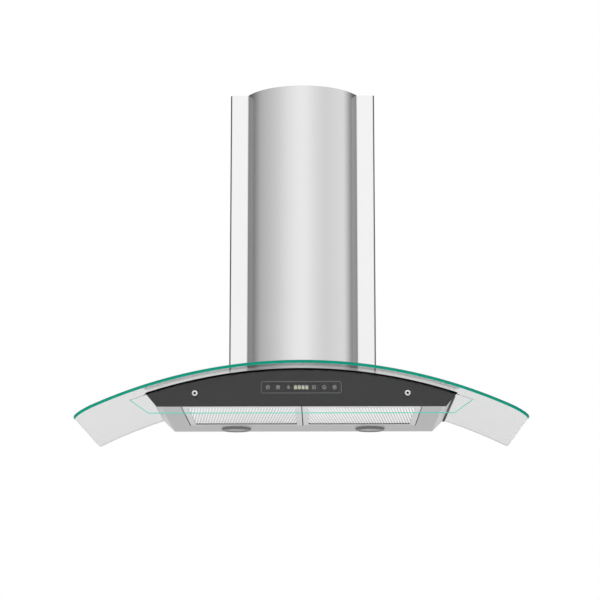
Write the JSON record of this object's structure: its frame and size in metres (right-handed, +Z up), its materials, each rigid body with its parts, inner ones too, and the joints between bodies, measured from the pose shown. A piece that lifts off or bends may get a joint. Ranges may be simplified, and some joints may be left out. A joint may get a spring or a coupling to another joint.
{
  "type": "range hood",
  "caption": "Wall-mounted range hood with an arched glass canopy, black touch panel, mesh grease filters, lamps and a telescoping steel chimney.",
  "frame": {"origin": "midway between the two wall fixing holes, on the wall plane", "axes": "+X to the right seen from the front, +Y towards the wall, +Z up"},
  "size_m": [0.9028, 0.5, 0.7467],
  "materials": {
    "clear_glass": "clear float glass with green edges",
    "black_enamel": "gloss black enamel",
    "brushed_steel": "vertical brushed grain",
    "galvanised": "galvanised, dull",
    "filter_aluminium": "satin",
    "chrome": "polished",
    "rubber": "matt",
    "black_plastic": "matt moulded",
    "grey_plastic": "matt moulded",
    "circuit_board": "green solder mask",
    "display": "gloss",
    "frosted_cover": "frosted",
    "bolt_steel": "zinc plated",
    "foam": "foam"
  },
  "bodies": {
    "root": {"canopy_glass": "clear_glass", "front_glass_panel": "clear_glass", "black_fascia": "black_enamel", "front_panel_screws": "chrome", "panel_spacers": "rubber", "body_gasket": "rubber", "box_gasket": "rubber", "left_glass_seal": "rubber", "right_glass_seal": "rubber", "touch_board": "circuit_board", "key_pads": "foam", "display_module": "display", "control_housing": "black_plastic", "lamp_driver": "black_plastic", "underside_panel": "brushed_steel", "lower_chimney_cover": "brushed_steel", "lamp_bezels": "brushed_steel", "cover_screws": "brushed_steel", "body_front_wall": "galvanised", "body_back_plate": "galvanised", "body_top_plate": "galvanised", "blower_box": "galvanised", "motor_bracket": "galvanised", "duct_collar": "galvanised", "chimney_wall_bracket": "galvanised", "cover_brackets": "galvanised", "inlet_ring": "galvanised", "lamp_housings": "galvanised", "clamp_bolts": "bolt_steel", "damper_pin": "bolt_steel", "scroll_housing": "grey_plastic", "run_capacitor": "grey_plastic", "lamp_lenses": "frosted_cover", "lamp_leds": "circuit_board", "motor": "galvanised"},
    "left_filter": {"left_filter_frame": "filter_aluminium", "left_filter_mesh": "filter_aluminium"},
    "right_filter": {"right_filter_frame": "filter_aluminium", "right_filter_mesh": "filter_aluminium"},
    "left_latch": {"left_filter_latch": "grey_plastic"},
    "right_latch": {"right_filter_latch": "grey_plastic"},
    "fan": {"fan_wheel": "grey_plastic", "motor_shaft": "bolt_steel"},
    "upper_cover": {"upper_chimney_cover": "brushed_steel"},
    "left_flap": {"left_damper_flap": "galvanised"},
    "right_flap": {"right_damper_flap": "galvanised"}
  },
  "joints": [
    {"name": "left_filter_swing", "type": "hinge", "parent": "root", "child": "left_filter", "pos_m": [-0.12125, -0.1005, -0.0345], "axis": [1, 0, 0], "range_deg": [0, 70]},
    {"name": "right_filter_swing", "type": "hinge", "parent": "root", "child": "right_filter", "pos_m": [0.12125, -0.1005, -0.0345], "axis": [1, 0, 0], "range_deg": [0, 70]},
    {"name": "left_latch_slide", "type": "slide", "parent": "left_filter", "child": "left_latch", "axis": [0, 1, 0], "range_m": [0, 0.006], "stiffness_N_per_m": 300, "springref_m": -0.006},
    {"name": "right_latch_slide", "type": "slide", "parent": "right_filter", "child": "right_latch", "axis": [0, 1, 0], "range_m": [0, 0.006], "stiffness_N_per_m": 300, "springref_m": -0.006},
    {"name": "fan_spin", "type": "hinge", "parent": "root", "child": "fan", "pos_m": [0, -0.105, 0.146], "axis": [1, 0, 0], "continuous": true},
    {"name": "chimney_slide", "type": "slide", "parent": "root", "child": "upper_cover", "axis": [0, 0, 1], "range_m": [0, 0.34]},
    {"name": "left_flap_hinge", "type": "hinge", "parent": "root", "child": "left_flap", "pos_m": [0, -0.135, 0.297], "axis": [0, 1, 0], "range_deg": [0, 75]},
    {"name": "right_flap_hinge", "type": "hinge", "parent": "root", "child": "right_flap", "pos_m": [0, -0.135, 0.297], "axis": [0, -1, 0], "range_deg": [0, 75]}
  ]
}
